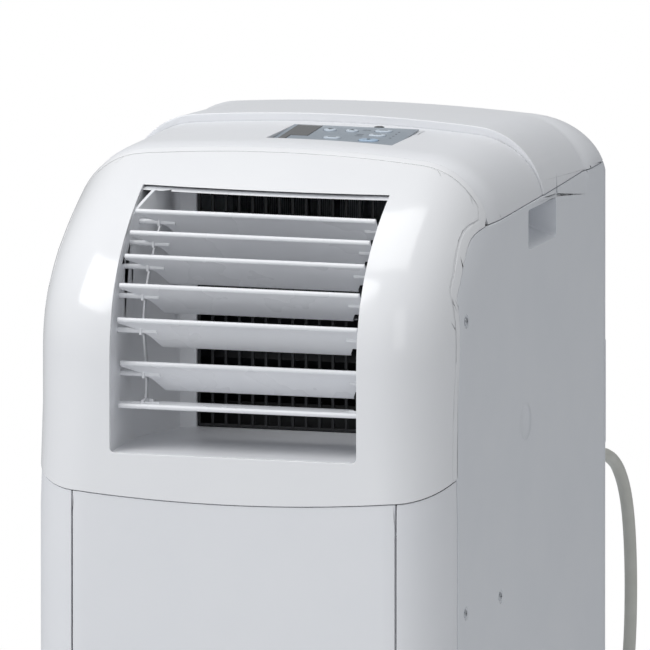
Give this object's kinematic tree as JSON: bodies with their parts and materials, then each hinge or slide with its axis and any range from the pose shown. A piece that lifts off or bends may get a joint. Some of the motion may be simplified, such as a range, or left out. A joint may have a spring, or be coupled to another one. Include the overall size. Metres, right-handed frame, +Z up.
{
  "type": "portable air conditioner",
  "caption": "Upright portable air conditioner on casters, with tilting front louvres, a top control panel, rear grilles and an exhaust collar.",
  "frame": {"origin": "on the floor under the centre of the cabinet, measured with its exhaust collar and cord cleat and without the mains lead", "axes": "+Z up, -Y towards the front with the louvres, +X to the right of someone facing the front"},
  "size_m": [0.34, 0.616, 0.74],
  "materials": {
    "gloss_white": "moulded, polished",
    "satin_white": "moulded, fine satin grain",
    "louvre_white": "moulded, satin",
    "black_plastic": "moulded, matte",
    "label_grey": "printed film",
    "display_black": "polished dark window",
    "dark_rubber": "moulded",
    "motor_grey": "painted pressed steel",
    "black_enamel": "enamelled steel",
    "copper_tube": "drawn copper",
    "fin_aluminium": "bare fins",
    "board_green": "coated circuit board",
    "cord_grey": "pale grey-beige moulded jacket"
  },
  "bodies": {
    "cabinet": {"base_pan": "satin_white", "blower_motor": "motor_grey", "blower_scroll": "black_plastic", "compressor": "black_enamel", "condenser_coil": "fin_aluminium", "condenser_fan_housing": "black_plastic", "condenser_grille": "satin_white", "condenser_motor": "motor_grey", "control_board": "board_green", "control_label": "label_grey", "cord_cleat": "satin_white", "cord_coil": "cord_grey", "cord_tie": "black_plastic", "discharge_tube": "copper_tube", "display_window": "display_black", "evaporator_coil": "fin_aluminium", "exhaust_collar": "satin_white", "front_bezel": "gloss_white", "front_frame": "satin_white", "front_panel": "satin_white", "left_side_panel": "satin_white", "mid_deck": "satin_white", "outlet_duct": "satin_white", "plug": "cord_grey", "power_cord": "cord_grey", "rear_cover": "satin_white", "rear_hood": "satin_white", "receiver_window": "display_black", "right_side_panel": "satin_white", "safety_grille": "black_plastic", "strain_relief": "cord_grey", "suction_tube": "copper_tube", "top_cover": "satin_white"},
    "louvre_1": {"louvre_1": "louvre_white"},
    "louvre_2": {"louvre_2": "louvre_white"},
    "louvre_3": {"louvre_3": "louvre_white"},
    "louvre_4": {"louvre_4": "louvre_white"},
    "louvre_5": {"louvre_5": "louvre_white"},
    "louvre_6": {"louvre_6": "louvre_white"},
    "louvre_7": {"louvre_7": "louvre_white"},
    "louvre_tie_bar": {"louvre_tie_bar": "louvre_white"},
    "button_down": {"button_down": "louvre_white"},
    "button_up": {"button_up": "louvre_white"},
    "button_power": {"button_power": "louvre_white"},
    "button_timer": {"button_timer": "louvre_white"},
    "button_speed": {"button_speed": "louvre_white"},
    "button_mode": {"button_mode": "louvre_white"},
    "caster_front_left": {"caster_fork_front_left": "black_plastic"},
    "wheel_front_left": {"caster_wheel_front_left": "dark_rubber"},
    "caster_front_right": {"caster_fork_front_right": "black_plastic"},
    "wheel_front_right": {"caster_wheel_front_right": "dark_rubber"},
    "caster_rear_left": {"caster_fork_rear_left": "black_plastic"},
    "wheel_rear_left": {"caster_wheel_rear_left": "dark_rubber"},
    "caster_rear_right": {"caster_fork_rear_right": "black_plastic"},
    "wheel_rear_right": {"caster_wheel_rear_right": "dark_rubber"},
    "blower": {"blower_wheel": "black_plastic"},
    "condenser_fan": {"condenser_fan_wheel": "black_plastic"},
    "filter": {"intake_grille": "satin_white", "air_filter": "black_plastic"},
    "drain_plug": {"drain_plug": "dark_rubber"}
  },
  "joints": [
    {"name": "louvre_1_tilt", "type": "hinge", "parent": "cabinet", "child": "louvre_1", "pos_m": [0, -0.15939, 0.67989], "axis": [1, 0, 0], "range_deg": [-20, 20]},
    {"name": "louvre_2_tilt", "type": "hinge", "parent": "cabinet", "child": "louvre_2", "pos_m": [0, -0.17439, 0.66509], "axis": [1, 0, 0], "range_deg": [-20, 20]},
    {"name": "louvre_3_tilt", "type": "hinge", "parent": "cabinet", "child": "louvre_3", "pos_m": [0, -0.18869, 0.64859], "axis": [1, 0, 0], "range_deg": [-20, 20]},
    {"name": "louvre_4_tilt", "type": "hinge", "parent": "cabinet", "child": "louvre_4", "pos_m": [0, -0.20259, 0.62759], "axis": [1, 0, 0], "range_deg": [-20, 20]},
    {"name": "louvre_5_tilt", "type": "hinge", "parent": "cabinet", "child": "louvre_5", "pos_m": [0, -0.20789, 0.60139], "axis": [1, 0, 0], "range_deg": [-20, 20]},
    {"name": "louvre_6_tilt", "type": "hinge", "parent": "cabinet", "child": "louvre_6", "pos_m": [0, -0.20039, 0.56639], "axis": [1, 0, 0], "range_deg": [-20, 20]},
    {"name": "louvre_7_tilt", "type": "hinge", "parent": "cabinet", "child": "louvre_7", "pos_m": [0, -0.202, 0.543], "axis": [1, 0, 0], "range_deg": [-20, 20]},
    {"name": "tie_bar_swing", "type": "hinge", "parent": "louvre_4", "child": "louvre_tie_bar", "pos_m": [-0.0843, -0.18759, 0.62759], "axis": [1, 0, 0], "range_deg": [-20, 20]},
    {"name": "button_down_press", "type": "slide", "parent": "cabinet", "child": "button_down", "axis": [0, 0.0523, -0.9986], "range_m": [0, 0.001], "stiffness_N_per_m": 600},
    {"name": "button_up_press", "type": "slide", "parent": "cabinet", "child": "button_up", "axis": [0, 0.0523, -0.9986], "range_m": [0, 0.001], "stiffness_N_per_m": 600},
    {"name": "button_power_press", "type": "slide", "parent": "cabinet", "child": "button_power", "axis": [0, 0.0523, -0.9986], "range_m": [0, 0.001], "stiffness_N_per_m": 600},
    {"name": "button_timer_press", "type": "slide", "parent": "cabinet", "child": "button_timer", "axis": [0, 0.0523, -0.9986], "range_m": [0, 0.001], "stiffness_N_per_m": 600},
    {"name": "button_speed_press", "type": "slide", "parent": "cabinet", "child": "button_speed", "axis": [0, 0.0523, -0.9986], "range_m": [0, 0.001], "stiffness_N_per_m": 600},
    {"name": "button_mode_press", "type": "slide", "parent": "cabinet", "child": "button_mode", "axis": [0, 0.0523, -0.9986], "range_m": [0, 0.001], "stiffness_N_per_m": 600},
    {"name": "caster_front_left_swivel", "type": "hinge", "parent": "cabinet", "child": "caster_front_left", "pos_m": [-0.13, -0.182, 0.0397], "axis": [0, 0, 1], "continuous": true},
    {"name": "wheel_front_left_spin", "type": "hinge", "parent": "caster_front_left", "child": "wheel_front_left", "pos_m": [-0.13, -0.172, 0.017], "axis": [1, 0, 0], "continuous": true},
    {"name": "caster_front_right_swivel", "type": "hinge", "parent": "cabinet", "child": "caster_front_right", "pos_m": [0.13, -0.182, 0.0397], "axis": [0, 0, 1], "continuous": true},
    {"name": "wheel_front_right_spin", "type": "hinge", "parent": "caster_front_right", "child": "wheel_front_right", "pos_m": [0.13, -0.172, 0.017], "axis": [1, 0, 0], "continuous": true},
    {"name": "caster_rear_left_swivel", "type": "hinge", "parent": "cabinet", "child": "caster_rear_left", "pos_m": [-0.13, 0.172, 0.0397], "axis": [0, 0, 1], "continuous": true},
    {"name": "wheel_rear_left_spin", "type": "hinge", "parent": "caster_rear_left", "child": "wheel_rear_left", "pos_m": [-0.13, 0.182, 0.017], "axis": [1, 0, 0], "continuous": true},
    {"name": "caster_rear_right_swivel", "type": "hinge", "parent": "cabinet", "child": "caster_rear_right", "pos_m": [0.13, 0.172, 0.0397], "axis": [0, 0, 1], "continuous": true},
    {"name": "wheel_rear_right_spin", "type": "hinge", "parent": "caster_rear_right", "child": "wheel_rear_right", "pos_m": [0.13, 0.182, 0.017], "axis": [1, 0, 0], "continuous": true},
    {"name": "blower_spin", "type": "hinge", "parent": "cabinet", "child": "blower", "pos_m": [0, -0.038, 0.59], "axis": [1, 0, 0], "continuous": true},
    {"name": "condenser_fan_spin", "type": "hinge", "parent": "cabinet", "child": "condenser_fan", "pos_m": [0.035, 0.032, 0.186], "axis": [0, 1, 0], "continuous": true},
    {"name": "filter_pull", "type": "slide", "parent": "cabinet", "child": "filter", "axis": [0, 1, 0], "range_m": [0, 0.06]},
    {"name": "drain_plug_pull", "type": "slide", "parent": "cabinet", "child": "drain_plug", "axis": [0, 1, 0], "range_m": [0, 0.02]}
  ],
  "couplings": [
    {"joint": "louvre_1_tilt", "follows": "louvre_4_tilt", "ratio": 1},
    {"joint": "louvre_2_tilt", "follows": "louvre_4_tilt", "ratio": 1},
    {"joint": "louvre_3_tilt", "follows": "louvre_4_tilt", "ratio": 1},
    {"joint": "louvre_5_tilt", "follows": "louvre_4_tilt", "ratio": 1},
    {"joint": "louvre_6_tilt", "follows": "louvre_4_tilt", "ratio": 1},
    {"joint": "louvre_7_tilt", "follows": "louvre_4_tilt", "ratio": 1},
    {"joint": "tie_bar_swing", "follows": "louvre_4_tilt", "ratio": -1}
  ]
}
